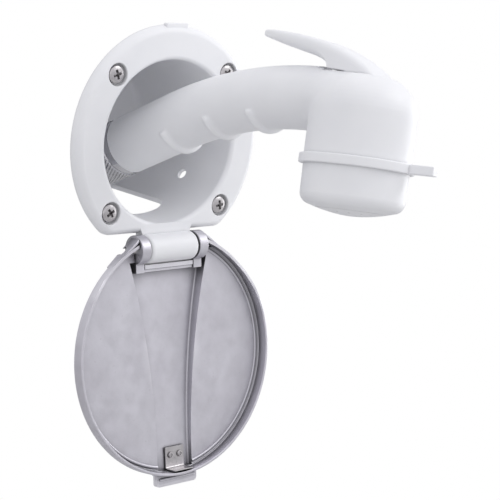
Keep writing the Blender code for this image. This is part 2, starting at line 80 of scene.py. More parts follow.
# ---- sizes shared with the frame, millimetres ----
# Flange, cup, screw recesses, hose window, drain hole and hinge barrel.
FACE, GASKET_T, GAP = 7.5, 1.2, 0.3
FLANGE_R, FLANGE_CHORD, FLANGE_CORNER_R, EDGE_R = 63.5, 49.5, 9.0, 4.6
MOUTH_R, CUP_BACK_R, CUP_WALL, LIP_R = 44.8, 42.0, 2.0, 2.5
CUP_BACK_Y = 72.5
HOLE_X, HOLE_Z, RECESS_R, RECESS_DEPTH = 38.75, 37.0, 6.15, 3.2
WINDOW_HALF, WINDOW_FRONT, WINDOW_LOW, WINDOW_TOP = 21.5, 18.5, -62, -24
DRAIN_R, DRAIN_Y, DRAIN_ANGLE = 3.0, 24.9, -33.0
BARREL_R, BARREL_HALF, PIN_HOLE_R = 8.0, 17.0, 2.15
KNUCKLE_START, KNUCKLE_END = BARREL_HALF + 0.4, 23.4
# Lid, its channel and its latch; a drop is a distance down from the hinge pin.
HINGE = Vector(joints["lid_hinge"]["pos_m"]) / MM
LID_HANG = 7.8
LID_R, LID_WALL, LID_DROP, LID_LIP, LID_FLOOR, LID_SKIN = 66.9, 1.6, 59.5, 7.5, 0.7, 2.0
CHANNEL_TOP, CHANNEL_END = 9.6, 126.0
LATCH_X, LATCH_HALF, RIVET_DROP, RIVET_X = 1.2, 6.5, 116.0, 3.2
RIVET_PLACES = (("left", LATCH_X - RIVET_X), ("right", LATCH_X + RIVET_X))
# Sprayer: its places are (out, up) from the middle of the flange's face.
SPRAYER_ROLL, HEAD_TILT = 10.0, 5.3
GRIP_R, GRIP_BORE, GRIP_SLOPE, GRIP_LEVEL, GRIP_BEND = 16.2, 10.0, 25.0, 2.5, 262.0
GRIP_START, GRIP_TAIL = (3.0, 11.7), -34.8
RIB_PITCH, RIB_FIRST, RIB_RING, RIB_R = 32.5, 4.0, 15.8, 2.6
HEAD_AT, HEAD_R, HEAD_TOP, HEAD_FOOT = (138.2, 8.0), 26.3, 43.2, 2.48
COLLAR_R, COLLAR_T = 28.4, 4.8
TAB_REACH, TAB_HALF, TAB_TURN = 40.7, 3.0, 19.0
PIVOT_AT, LEVER_HOLE_R, VALVE_SHIFT = (141.5, 49.0), 1.4, 11.0
HEAD_CROWN = 19.0
# Upper and lower outline of the lever, and the hollow in the head that it moves in.
LEVER_TIP = 61.5
LEVER_TOP = [(LEVER_TIP, 66.3), (64, 66.8), (70, 67.05), (78, 66.9), (89, 66.4), (100, 65.4), (106, 64.6),
             (111, 63.8), (117, 62.5), (122, 61.1), (130, 58.5), (137, 55.4), (141, 53.2), (144.8, 50.6)]
LEVER_UNDER = [(LEVER_TIP, 63.6), (64, 63.0), (70, 61.9), (80, 60.1), (91, 58.4), (101, 56.9), (108, 55.4),
               (111.6, 54.3), (113.0, 53.0), (113.4, 51.2), (125, 50.9), (136, 47.4), (144.8, 46.7)]
POCKET_HALF, POCKET_FLOOR, POCKET_BACK = 8.95, 46.0, 110.6
SLOT_HALF, SLOT_BACK = 6.5, 105.0


def turn(degrees, axis):
    """Matrix that turns about an axis."""
    return Matrix.Rotation(math.radians(degrees), 4, axis)


def shift(x, y, z):
    """Matrix that moves by a distance along each axis."""
    return Matrix.Translation((x, y, z))


WORLD = Matrix.Identity(4)
LID = shift(*HINGE) @ turn(-LID_HANG, 'X')
SPRAYER = shift(0, -FACE, 0) @ turn(SPRAYER_ROLL, 'Y')
HEAD = SPRAYER @ shift(0, -HEAD_AT[0], HEAD_AT[1]) @ turn(-HEAD_TILT, 'X')


# ---- mesh helpers ----
def make(name, bm, at=WORLD):
    """Turn a bmesh in millimetres into an object in metres, placed by a matrix."""
    bmesh.ops.recalc_face_normals(bm, faces=bm.faces)
    bm.transform(Matrix.Scale(MM, 4) @ at)
    mesh = bpy.data.meshes.new(name)
    bm.to_mesh(mesh)
    bm.free()
    obj = bpy.data.objects.new(name, mesh)
    bpy.context.scene.collection.objects.link(obj)
    return obj


def bake(obj):
    """Apply all of an object's modifiers."""
    graph = bpy.context.evaluated_depsgraph_get()
    mesh = bpy.data.meshes.new_from_object(obj.evaluated_get(graph))
    obj.modifiers.clear()
    obj.data = mesh
    return obj


def modify(obj, kind, **settings):
    """Add a modifier of a kind, with its settings."""
    mod = obj.modifiers.new(kind.lower(), kind)
    for key, value in settings.items():
        setattr(mod, key, value)
    return mod


def combine(obj, others, operation):
    """Boolean each of the others into an object, then delete them."""
    for other in others:
        modify(obj, 'BOOLEAN', operation=operation, object=other)
        bake(obj)
        bpy.data.objects.remove(other, do_unlink=True)
    return obj


def cut(obj, *tools):
    """Take the tools' shapes out of an object."""
    return combine(obj, tools, 'DIFFERENCE')


def join(obj, *others):
    """Merge the others into an object as one closed skin."""
    return combine(obj, others, 'UNION')


def turn_angles(steps):
    """Evenly spaced angles of one turn, in radians."""
    return [2 * math.pi * i / steps for i in range(steps)]


def skin(bm, loops, closed=False):
    """Faces between neighbouring loops of vertices, and from the last loop to the first when closed."""
    pairs = list(zip(loops, loops[1:]))
    if closed:
        pairs.append((loops[-1], loops[0]))
    for a, b in pairs:
        for i in range(len(a)):
            j = (i + 1) % len(a)
            bm.faces.new((a[i], a[j], b[j], b[i]))


def surface(name, rings, at=WORLD, start=None, end=None):
    """Closed surface over rings of equal counts; start and end are points or flat caps."""
    bm = bmesh.new()
    loops = [[bm.verts.new(p) for p in ring] for ring in rings]
    skin(bm, loops)
    for loop, pole in ((loops[0], start), (loops[-1], end)):
        if pole is None:
            bm.faces.new(loop)
            continue
        tip = bm.verts.new(pole)
        for i, vert in enumerate(loop):
            bm.faces.new((vert, loop[(i + 1) % len(loop)], tip))
    return make(name, bm, at)


def closed_band(name, rings, at=WORLD):
    """Closed surface over rings whose last one meets the first."""
    bm = bmesh.new()
    skin(bm, [[bm.verts.new(p) for p in ring] for ring in rings], closed=True)
    return make(name, bm, at)


def turned(name, profile, at=WORLD, steps=96):
    """Profile of (radius, height) points turned about Z; a first or last radius of 0 is a pole."""
    start = (0, 0, profile[0][1]) if profile[0][0] == 0 else None
    end = (0, 0, profile[-1][1]) if profile[-1][0] == 0 else None
    body = profile[1 if start else 0:len(profile) - (1 if end else 0)]
    angles = turn_angles(steps)
    rings = [[(r * math.cos(a), r * math.sin(a), h) for a in angles] for r, h in body]
    if start is None and end is None:
        return closed_band(name, rings, at)
    return surface(name, rings, at, start, end)


def block(name, low, high, at=WORLD, radius=0.0, segments=3):
    """Box between two corners, with rounded edges."""
    bm = bmesh.new()
    bmesh.ops.create_cube(bm, size=1.0)
    low, high = Vector(low), Vector(high)
    bmesh.ops.scale(bm, vec=high - low, verts=bm.verts)
    bmesh.ops.translate(bm, vec=(low + high) / 2, verts=bm.verts)
    if radius:
        bmesh.ops.bevel(bm, geom=bm.edges, offset=radius, segments=segments, affect='EDGES', profile=0.5)
    return make(name, bm, at)


def rod(name, radius, start, end, at=WORLD, steps=48, edge=0.0):
    """Round bar between two points, with rounded rims when an edge radius is given."""
    start, end = Vector(start), Vector(end)
    along = end - start
    aim = shift(*start) @ Vector((0, 0, 1)).rotation_difference(along).to_matrix().to_4x4()
    if not edge:
        return turned(name, [(0, 0), (radius, 0), (radius, along.length), (0, along.length)], at @ aim, steps)
    low = [(radius - edge + r, edge + h) for r, h in arc(edge, -90, 0, 5)]
    high = [(radius - edge + r, along.length - edge + h) for r, h in arc(edge, 0, 90, 5)]
    return turned(name, [(0, 0)] + low + high + [(0, along.length)], at @ aim, steps)


def arc(radius, start, end, count):
    """Points of an arc about the origin, angles in degrees, ends included."""
    angles = [math.radians(start + (end - start) * i / (count - 1)) for i in range(count)]
    return [(radius * math.cos(a), radius * math.sin(a)) for a in angles]


def share(value, start, end):
    """How far a value is from start to end, held between 0 and 1."""
    return min(1.0, max(0.0, (value - start) / (end - start)))


def tube(name, points, radii, at=WORLD, sides=40):
    """Tube of changing radius along a gentle curve, with flat ends."""
    points = [Vector(p) for p in points]
    rings = []
    normal = Vector((1, 0, 0))
    for i, point in enumerate(points):
        along = (points[min(i + 1, len(points) - 1)] - points[max(i - 1, 0)]).normalized()
        normal = (normal - along * normal.dot(along)).normalized()
        other = along.cross(normal)
        rings.append([point + radii[i] * (normal * math.cos(a) + other * math.sin(a))
                      for a in turn_angles(sides)])
    return surface(name, rings, at, points[0], points[-1])


def shade(obj, degrees=30.0):
    """Smooth shading with hard edges kept, and flats that stay flat."""
    obj.data.shade_smooth()
    obj.data.set_sharp_from_angle(angle=math.radians(degrees))
    modify(obj, 'WEIGHTED_NORMAL', keep_sharp=True, weight=80)
    return obj


def soften(obj, width, degrees=35.0, segments=3):
    """Round the hard edges of an object."""
    modify(obj, 'WELD', merge_threshold=0.00002)
    modify(obj, 'BEVEL', width=width * MM, segments=segments, limit_method='ANGLE',
           angle_limit=math.radians(degrees), use_clamp_overlap=True, miter_outer='MITER_ARC')
    return bake(obj)


# ---- materials ----
def principled(name):
    """New material, with its nodes, links and shader."""
    mat = bpy.data.materials.new(name)
    mat.use_nodes = True
    return mat, mat.node_tree.nodes, mat.node_tree.links, mat.node_tree.nodes["Principled BSDF"]


def noise(nodes, links, scale, detail=4.0, roughness=0.55, stretch=None):
    """Noise in object space; scale is features per metre, and stretch lengthens them along an axis."""
    coord = nodes.new("ShaderNodeTexCoord")
    mapping = nodes.new("ShaderNodeMapping")
    mapping.inputs["Scale"].default_value = stretch or (1, 1, 1)
    tex = nodes.new("ShaderNodeTexNoise")
    tex.inputs["Scale"].default_value = scale
    tex.inputs["Detail"].default_value = detail
    tex.inputs["Roughness"].default_value = roughness
    links.new(coord.outputs["Object"], mapping.inputs["Vector"])
    links.new(mapping.outputs["Vector"], tex.inputs["Vector"])
    return tex.outputs["Fac"]


def ramp(nodes, links, value, stops):
    """Map a value through (position, level or colour) stops."""
    node = nodes.new("ShaderNodeValToRGB")
    elements = node.color_ramp.elements
    while len(elements) < len(stops):
        elements.new(0.5)
    for element, (position, level) in zip(elements, stops):
        colour = level if isinstance(level, tuple) else (level,) * 3
        element.position = position
        element.color = (*colour, 1.0)
    links.new(value, node.inputs["Fac"])
    return node.outputs["Color"]


def mix(nodes, links, a, b, factor, mode='MIX'):
    """Blend two colours; each of the three inputs is a value or another node's output."""
    node = nodes.new("ShaderNodeMix")
    node.data_type = 'RGBA'
    node.blend_type = mode
    for socket, value in ((node.inputs[6], a), (node.inputs[7], b), (node.inputs[0], factor)):
        if isinstance(value, bpy.types.NodeSocket):
            links.new(value, socket)
        else:
            socket.default_value = value
    return node.outputs[2]


def bumps(nodes, links, bsdf, layers):
    """Chain bump layers of (height, strength, distance in millimetres)."""
    normal = None
    for height, strength, distance in layers:
        node = nodes.new("ShaderNodeBump")
        node.inputs["Strength"].default_value = strength
        node.inputs["Distance"].default_value = distance * MM
        links.new(height, node.inputs["Height"])
        if normal is not None:
            links.new(normal, node.inputs["Normal"])
        normal = node.outputs["Normal"]
    links.new(normal, bsdf.inputs["Normal"])


def painted_hollow_shade(nodes, links, reach, depth, open_at=0.85):
    """Painted shade of corners and grooves, from ambient occlusion: 1 in the open, down to a depth where
    something is within a reach.
    """
    node = nodes.new("ShaderNodeAmbientOcclusion")
    node.inputs["Distance"].default_value = reach * MM
    node.samples = 12
    return ramp(nodes, links, node.outputs["AO"], [(0.35, depth), (open_at, 1.0)])


def edge_wear_and_highlight(nodes, links, low, high):
    """Mask of convex edges, from the mesh's own curvature, for edge wear that also stands in as a painted
    edge highlight.
    """
    geometry = nodes.new("ShaderNodeNewGeometry")
    return ramp(nodes, links, geometry.outputs["Pointiness"], [(low, 0.0), (high, 1.0)])


def white_plastic():
    """Satin-gloss moulded plastic with a faint flow mottle and a very fine grain, darkened by painted shade
    in its corners and recesses.
    """
    mat, nodes, links, bsdf = principled("moulded_white")
    broad = noise(nodes, links, 45, 3)
    fine = noise(nodes, links, 2600, 2)
    tint = ramp(nodes, links, broad, [(0.3, (0.845, 0.85, 0.875)), (0.7, (0.875, 0.878, 0.90))])
    scuff = ramp(nodes, links, noise(nodes, links, 700, 6, 0.7), [(0.60, 0.0), (0.72, 1.0)])
    faint = mix(nodes, links, (0, 0, 0, 1), (0.10, 0.10, 0.10, 1), scuff)
    worn = mix(nodes, links, tint, (0.74, 0.73, 0.74, 1), faint)
    # painted shade: the colour is darkened where other surfaces are within 2.5 mm, in corners, recesses and
    # grooves
    base = mix(nodes, links, worn, painted_hollow_shade(nodes, links, 2.5, 0.72), 1.0, 'MULTIPLY')
    links.new(base, bsdf.inputs["Base Color"])
    satin = ramp(nodes, links, noise(nodes, links, 260, 5), [(0.3, 0.38), (0.7, 0.50)])
    links.new(satin, bsdf.inputs["Roughness"])
    bsdf.inputs["Subsurface Weight"].default_value = 0.08
    bsdf.inputs["Subsurface Radius"].default_value = (0.002, 0.002, 0.0022)
    bsdf.inputs["Subsurface Scale"].default_value = 1.0
    bumps(nodes, links, bsdf, [(broad, 0.10, 0.6), (fine, 0.12, 0.03)])
    return mat


def cast_metal():
    """Tumbled cast metal: cloudy grey, dark specks and small pits, brighter on its edges from wear and a
    painted highlight, and darkened by painted shade in its hollows and grooves.
    """
    mat, nodes, links, bsdf = principled("tumbled_casting")
    cloud = noise(nodes, links, 38, 6, 0.62)
    blotch = noise(nodes, links, 130, 5, 0.7)
    pits = noise(nodes, links, 900, 3, 0.6)
    tint = ramp(nodes, links, cloud, [(0.30, (0.61, 0.595, 0.645)), (0.70, (0.68, 0.67, 0.72))])
    dull = ramp(nodes, links, blotch, [(0.35, 0.93), (0.62, 1.0)])
    base = mix(nodes, links, tint, dull, 1.0, 'MULTIPLY')
    speck = ramp(nodes, links, noise(nodes, links, 520, 2, 0.5), [(0.66, 0.0), (0.78, 0.30)])
    base = mix(nodes, links, base, (0.42, 0.40, 0.43, 1), speck)
    # edges lightened: partly worn metal, partly a painted highlight along rims and lips
    base = mix(nodes, links, base, (0.86, 0.85, 0.89, 1), edge_wear_and_highlight(nodes, links, 0.53, 0.60))
    # painted shade: darker in the wide hollows round the knuckles and rim, then in narrow corners and grooves
    base = mix(nodes, links, base, painted_hollow_shade(nodes, links, 11.0, 0.36), 1.0, 'MULTIPLY')
    base = mix(nodes, links, base, painted_hollow_shade(nodes, links, 1.8, 0.50), 1.0, 'MULTIPLY')
    links.new(base, bsdf.inputs["Base Color"])
    bsdf.inputs["Metallic"].default_value = 0.86
    links.new(ramp(nodes, links, blotch, [(0.3, 0.36), (0.7, 0.52)]), bsdf.inputs["Roughness"])
    bumps(nodes, links, bsdf, [(cloud, 0.12, 0.5), (blotch, 0.14, 0.15), (pits, 0.30, 0.04)])
    return mat


def steel(name, colour, roughness, stretch, open_at=0.85):
    """Worked metal with fine drawn lines and handling marks, darkened by painted shade in its grooves and
    recesses.
    """
    mat, nodes, links, bsdf = principled(name)
    lines = noise(nodes, links, 900, 4, 0.6, stretch)
    marks = noise(nodes, links, 240, 5, 0.7)
    dark = tuple(c * 0.86 for c in colour)
    tint = ramp(nodes, links, marks, [(0.3, dark), (0.65, colour)])
    # painted shade: nearly black in grooves and cross recesses, where other surfaces are close
    base = mix(nodes, links, tint, painted_hollow_shade(nodes, links, 1.4, 0.10, open_at), 1.0, 'MULTIPLY')
    links.new(base, bsdf.inputs["Base Color"])
    bsdf.inputs["Metallic"].default_value = 1.0
    gloss = ramp(nodes, links, lines, [(0.3, roughness * 0.75), (0.7, roughness * 1.25)])
    links.new(gloss, bsdf.inputs["Roughness"])
    bumps(nodes, links, bsdf, [(marks, 0.08, 0.2), (lines, 0.15, 0.02)])
    return mat


def rubber():
    """Matt black rubber with a dusty bloom and a pebbled skin."""
    mat, nodes, links, bsdf = principled("matt_rubber")
    bloom = noise(nodes, links, 120, 5)
    grain = noise(nodes, links, 1800, 3)
    black = ramp(nodes, links, bloom, [(0.3, (0.022, 0.022, 0.024)), (0.75, (0.055, 0.054, 0.054))])
    links.new(black, bsdf.inputs["Base Color"])
    links.new(ramp(nodes, links, grain, [(0.3, 0.68), (0.7, 0.88)]), bsdf.inputs["Roughness"])
    bumps(nodes, links, bsdf, [(grain, 0.35, 0.06)])
    return mat


MATERIALS = {
    "white_plastic": white_plastic(),
    "cast_metal": cast_metal(),
    "stainless_steel": steel("drawn_stainless", (0.60, 0.58, 0.59), 0.34, (1, 1, 0.15)),
    "chrome": steel("plated_chrome", (0.60, 0.60, 0.63), 0.16, (1, 1, 1), 0.9),
    "brass": steel("turned_brass", (0.68, 0.50, 0.23), 0.30, (1, 1, 6)),
    "black_rubber": rubber(),
}
SLOT_OF = {row["node"]: row["material_slot"] for row in frame["record"]["subparts"]}
BODY_OF = {node: body for body, nodes in frame["record"]["behaviour"]["bodies"].items() for node in nodes}


def piece(obj, node, smooth=30.0):
    """Finish a piece that stands for a node: shading, material, body and slot."""
    shade(obj, smooth)
    obj.data.materials.clear()
    obj.data.materials.append(MATERIALS[SLOT_OF[node]])
    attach(obj, BODY_OF[node])
    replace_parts(obj, node)
    return obj


# ---- housing ----
def outline_reach(angle):
    """Distance from the cup's axis to the flange's outline, in a direction in the XZ plane."""
    radius, chord, corner = FLANGE_R, FLANGE_CHORD, FLANGE_CORNER_R
    down = -math.sin(angle)
    if down <= 0:
        return radius
    reach = radius - corner
    centre_z = chord - corner
    centre_x = math.sqrt(reach ** 2 - centre_z ** 2)
    across = abs(math.cos(angle))
    if down * centre_x < across * centre_z:
        return radius
    if across * chord < down * centre_x:
        return chord / down
    along = across * centre_x + down * centre_z
    return along + math.sqrt(along ** 2 - (centre_x ** 2 + centre_z ** 2 - corner ** 2))


def hoop(radius, y, steps):
    """Circle of points about the cup's axis."""
    return [(radius * math.cos(a), y, radius * math.sin(a)) for a in turn_angles(steps)]


def housing_shell():
    """Skin of the flange and cup, from the cup's inner floor, over the flange, to its outer floor."""
    steps, root, behind = 240, 4.0, -GASKET_T - GAP
    angles = turn_angles(steps)
    reach = [outline_reach(a) for a in angles]
    rounding = [(EDGE_R ** -4 + (r - MOUTH_R - LIP_R - 0.1) ** -4) ** -0.25 for r in reach]

    def circle(radius, y):
        return hoop(radius, y, steps)

    def outline(inward, forward):
        """Flange's edge: shares of its rounding, taken in from the outline and up to the front face."""
        return [((r - inward * e) * math.cos(a), (1 - forward) * e - FACE, (r - inward * e) * math.sin(a))
                for a, r, e in zip(angles, reach, rounding)]

    rings = [circle(CUP_BACK_R * 0.5, CUP_BACK_Y)]
    rings += [circle(CUP_BACK_R - root + r, CUP_BACK_Y - root + h) for r, h in arc(root, 90, 0, 6)]
    rings += [circle(MOUTH_R - 0.9, 18.0), circle(MOUTH_R, LIP_R - FACE)]
    rings += [circle(MOUTH_R + LIP_R - r, LIP_R - FACE - h) for r, h in arc(LIP_R, 0, 90, 8)[1:]]
    rings += [outline(1 - r, h) for r, h in arc(1.0, 90, 0, 9)]
    rings += [[(r * math.cos(a), behind, r * math.sin(a)) for a, r in zip(angles, reach)]]
    rings += [circle(MOUTH_R + CUP_WALL, behind)]
    rings += [circle(CUP_BACK_R + CUP_WALL, CUP_BACK_Y), circle(CUP_BACK_R, CUP_BACK_Y + CUP_WALL)]
    return surface("housing_moulding", rings, WORLD, (0, CUP_BACK_Y, 0), (0, CUP_BACK_Y + CUP_WALL, 0))


def hinge_neck():
    """Web that widens from the hinge barrel up into the flange."""
    steps, top, fall, back = 12, -44.5, 9.0, -1.9
    flare = []
    for i in range(steps + 1):
        t = i / steps
        z = top - fall * t
        half = BARREL_HALF - 0.3 + 3.2 * (1 - t) ** 3 if t < 1 else BARREL_HALF - 0.4
        front = -FACE + 0.02 - 3.4 * max(0.0, t - 0.35) ** 1.6
        flare.append([(-half, front, z), (half, front, z), (half, back, z), (-half, back, z)])
    return surface("neck", flare)


def window_cutter():
    """Hose window in the cup's wall, with wide corners near the mouth and small ones at the back."""
    low, high = (-WINDOW_HALF, WINDOW_FRONT, WINDOW_LOW), (WINDOW_HALF, CUP_BACK_Y - 0.5, WINDOW_TOP)
    window = block("window", low, high)
    middle = 30 * MM
    bm = bmesh.new()
    bm.from_mesh(window.data)
    uprights = [e for e in bm.edges if abs(e.verts[0].co.z - e.verts[1].co.z) > 10 * MM]
    front = [e for e in uprights if e.verts[0].co.y < middle]
    back = [e for e in uprights if e.verts[0].co.y > middle]
    bmesh.ops.bevel(bm, geom=front, offset=8 * MM, segments=10, affect='EDGES', profile=0.5)
    bmesh.ops.bevel(bm, geom=back, offset=2 * MM, segments=4, affect='EDGES', profile=0.5)
    bm.to_mesh(window.data)
    bm.free()
    return window


def recess_cutter(x, z):
    """Screw recess in the flange, with a softened rim and a clearance hole."""
    rim, hole = 0.5, 2.6
    profile = [(0, 2), (RECESS_R + rim + 0.3, 2), (RECESS_R + rim, 0)]
    profile += [(RECESS_R + 0.15, -0.15), (RECESS_R, -rim), (RECESS_R, rim - RECESS_DEPTH)]
    profile += [(RECESS_R - rim, -RECESS_DEPTH), (hole, -RECESS_DEPTH), (hole, -9), (0, -9)]
    return turned("recess", profile, shift(x, -FACE, z) @ turn(90, 'X'), 56)


def housing():
    """Flange, cup, hinge barrel and latch catch in one moulding."""
    shell = housing_shell()
    axis = (HINGE.y, HINGE.z)
    barrel = rod("barrel", BARREL_R, (-BARREL_HALF, *axis), (BARREL_HALF, *axis), edge=2.4, steps=72)
    catch = block("catch", (LATCH_X - 7.5, -6.2, 58.0), (LATCH_X + 7.5, -2.8, 64.4), radius=0.6)
    join(shell, barrel, hinge_neck(), catch)
    radial = Vector((math.cos(math.radians(DRAIN_ANGLE)), 0, math.sin(math.radians(DRAIN_ANGLE))))
    centre = Vector((0, DRAIN_Y, 0))
    drain = rod("drain", DRAIN_R, centre + radial * 38, centre + radial * 52, steps=40)
    pin_hole = rod("pin_hole", PIN_HOLE_R, (-40, *axis), (40, *axis))
    cut(shell, window_cutter(), drain, pin_hole)
    for x in (-HOLE_X, HOLE_X):
        for z in (-HOLE_Z, HOLE_Z):
            cut(shell, recess_cutter(x, z))
    return piece(shell, "housing", 32)


def screw(node, spin):
    """Pan-head machine screw with a cross recess."""
    low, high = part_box(node)
    x, z = (low.x + high.x) / 2 / MM, (low.z + high.z) / 2 / MM
    seat, head, head_r, crown = FACE - RECESS_DEPTH + GAP, 2.6, 4.9, 1.35
    at = shift(x, -seat, z) @ turn(90, 'X') @ turn(spin, 'Z')
    dome = [(head_r * math.sin(a), head - crown + crown * math.cos(a))
            for a in (math.radians(9 * k) for k in range(1, 11))]
    profile = [(0, head)] + dome + [(head_r, 0.25), (head_r - 0.25, 0)]
    profile += [(2.2, 0), (2.2, -12), (1.6, -15), (0, -seat - 14)]
    body = turned(node + "_bolt", profile, at, 72)
    blades = []
    for angle in (0, 90):
        wedge = [[(-w, -t, h), (w, -t, h), (w, t, h), (-w, t, h)]
                 for w, t, h in ((1.0, 0.38, head - 2.3), (2.4, 0.72, head - 1.1), (2.9, 0.80, head + 1))]
        blades.append(surface("blade", wedge, at @ turn(angle, 'Z')))
    cut(body, *blades)
    soften(body, 0.10, 40, 2)
    return piece(body, node, 40)


# ---- lid ----
def channel_half(drop):
    """Half width of the lid's channel at a distance down from the hinge."""
    return 12.7 + 14.5 * max(0.0, (115 - drop) / 107) ** 2


def channel_depth(drop):
    """Depth of the lid's channel at a distance down from the hinge."""
    return 6.2 - 3.8 * (drop - CHANNEL_TOP) / (CHANNEL_END - CHANNEL_TOP)


def channel(name, grow, front, extra, start, end, corner):
    """Tapered trough with rounded bottom corners, along the lid."""
    steps, rings = 40, []
    for i in range(steps + 1):
        drop = start + (end - start) * i / steps
        half = channel_half(drop) + grow
        depth = channel_depth(drop) - LID_FLOOR + extra
        foot = half - 0.6 - corner
        ring = [(-half, front, -drop), (half, front, -drop)]
        ring += [(foot + x, depth - corner + y, -drop) for x, y in arc(corner, 0, 90, 5)]
        ring += [(-foot + x, depth - corner + y, -drop) for x, y in arc(corner, 90, 180, 5)]
        rings.append(ring)
    return surface(name, rings, LID)


def ear(sign):
    """Straight strip that carries the lid's rim up to the top of a knuckle."""
    steps, thick, knuckle = 12, 1.5, BARREL_R - 0.2
    start, run, inward = Vector((42.0, 7.7)), Vector((-19.4, -14.7)), Vector((-0.599, 0.801))
    rings = []
    for i in range(steps + 1):
        t = i / steps
        outer = start + run * t
        inner = outer + inward * thick
        high = math.sqrt(knuckle ** 2 - min(0.0, outer.y) ** 2)
        front, back = -min(5.3 + 0.2 * t, high), 0.6 + 1.8 * t
        rings.append([(sign * outer.x, front, -outer.y), (sign * inner.x, front, -inner.y),
                      (sign * inner.x, back, -inner.y), (sign * outer.x, back, -outer.y)])
    return soften(surface("ear", rings, LID), 0.35, 40, 2)


def clean_profile(profile):
    """Drop points that repeat their neighbour."""
    kept = [profile[0]]
    for point in profile[1:]:
        if math.dist(point, kept[-1]) > 0.01:
            kept.append(point)
    return kept


def lid_profile():
    """Section of the dish: inner face with its bead, inside of the rim, rounded edge, outside, outer face."""
    inner, back = LID_R - LID_WALL, LID_FLOOR - LID_SKIN
    profile = [(0, LID_FLOOR), (30, LID_FLOOR), (inner - 3.3, LID_FLOOR)]
    profile += [(inner - 2.4 - r, LID_FLOOR + 0.75 * h) for r, h in arc(0.9, 0, 180, 9)]
    profile += [(inner - 1.3, LID_FLOOR - 0.15), (inner - 0.7, LID_FLOOR + 0.1)]
    profile += [(inner - 0.15, LID_FLOOR + 0.8), (inner, LID_FLOOR + 2), (inner, LID_LIP - 0.5)]
    profile += [(inner + 0.5 - r, LID_LIP - 0.5 + h) for r, h in arc(0.5, 0, 90, 4)[1:]]
    profile += [(LID_R - 0.6 + r, LID_LIP - 0.6 + h) for r, h in arc(0.6, 90, 0, 5)]
    edge = ((0, 1.6), (0.3, 0.8), (0.8, 0.2), (1.5, -0.3), (2.3, -0.8))
    profile += [(LID_R - inset, height) for inset, height in edge]
    profile += [(LID_R - 4.2, back), (30, back), (0, back)]
    return clean_profile(profile)


def thumb_tab():
    """Tab under the lid for a thumb, and the bead along its tip."""
    half, tip = 14.5, 12.6
    outline = [(-half, -64.3), (half, -64.3), (half, -71.0), (13.9, -72.2), (12.5, -72.8),
               (-12.5, -72.8), (-13.9, -72.2), (-half, -71.0)]
    layers = ((-2.2, 0.5), (-1.9, 0.0), (0.8, 0.0), (1.2, 0.6))
    rings = [[(x * (1 - inset / half), y, -LID_DROP + z + (inset if z < -65 else 0)) for x, z in outline]
             for y, inset in layers]
    bead = rod("tab_bead", 0.8, (-tip, -2.2, -LID_DROP - 68.6), (tip, -2.2, -LID_DROP - 68.6), LID, 24, 0.6)
    return surface("thumb_tab", rings, LID), bead


def lid_cutters():
    """Gap for the hinge barrel, clear corners at the knuckles, lowered rim beside them, and the channel."""
    rim_gap = block("rim_gap", (-KNUCKLE_START, -12, -CHANNEL_TOP), (KNUCKLE_START, 12, 20), LID)
    corner = block("corner", (-KNUCKLE_END - 0.5, -12, -5), (KNUCKLE_END + 0.5, 12, 20), LID)
    slope = [(-12, 34), (-7.5, 34), (-7.1, 26), (-6.3, 17), (-5.6, 12.6), (-5.6, -20), (-12, -20)]
    relief = surface("relief", [[(x, y, -drop) for y, drop in slope] for x in (-70, 70)], LID)
    trough = channel("trough", 0, -LID_FLOOR - 3.0, 0, 6.8, CHANNEL_END, 1.0)
    keep = rod("keep", LID_R - LID_WALL - 0.4, (0, -20, -LID_DROP), (0, 20, -LID_DROP), LID, 200)
    return rim_gap, corner, relief, combine(trough, [keep], 'INTERSECT')


def hinge_arms():
    """Sill and its foot between the knuckles, then a knuckle, an arm and a rim strip on each side."""
    sill = KNUCKLE_START - 0.3
    arms = [block("sill", (-sill, -1.2, -11.0), (sill, 5.4, -8.5), LID, 0.3, 2),
            block("sill_foot", (-sill, -0.4, -12.6), (sill, 5.4, -10.4), LID, 0.3, 2)]
    for sign in (-1, 1):
        near, far = sorted((sign * KNUCKLE_START, sign * KNUCKLE_END))
        arms.append(rod("knuckle", BARREL_R, (near, 0, 0), (far, 0, 0), LID, 72, 0.5))
        arms.append(block("arm", (near + 0.1, -1.3, -12.9), (far - 0.1, 6.6, -3), LID, 0.4, 2))
        arms.append(ear(sign))
    return arms


def lid():
    """Cast dish with a rim, a tapered channel, two hinge knuckles and a thumb tab."""
    at = LID @ shift(0, 0, -LID_DROP) @ turn(90, 'X')
    dish = turned("lid_casting", lid_profile(), at, 200)
    spine = channel("spine", 1.8, 0.8 - LID_FLOOR, 1.8, 5.5, CHANNEL_END, 1.6)
    join(dish, *thumb_tab(), spine)
    cut(dish, *lid_cutters())
    join(dish, *hinge_arms())
    cut(dish, rod("lid_pin_hole", PIN_HOLE_R, (-40, 0, 0), (40, 0, 0), LID), *rivet_holes())
    return piece(dish, "lid", 28)


def rivet_holes():
    """Cutters for the two latch rivets."""
    return [rod("rivet_hole", 1.0, (x, -10, -RIVET_DROP), (x, 10, -RIVET_DROP), LID, 24)
            for _, x in RIVET_PLACES]


# ---- sprayer ----
def grip_point(out):
    """Centre of the grip at a distance out from the flange: (out, up, slope)."""
    start_out, start_up = GRIP_START
    slope, level = math.radians(GRIP_SLOPE), math.radians(GRIP_LEVEL)
    bend_out = GRIP_BEND * (math.sin(slope) - math.sin(level))
    if out <= start_out:
        return out, start_up + (out - start_out) * math.tan(slope), slope
    if out >= start_out + bend_out:
        up = start_up + GRIP_BEND * (math.cos(level) - math.cos(slope))
        return out, up + (out - start_out - bend_out) * math.tan(level), level
    here = math.asin(math.sin(slope) - (out - start_out) / GRIP_BEND)
    return out, start_up + GRIP_BEND * (math.cos(here) - math.cos(slope)), here


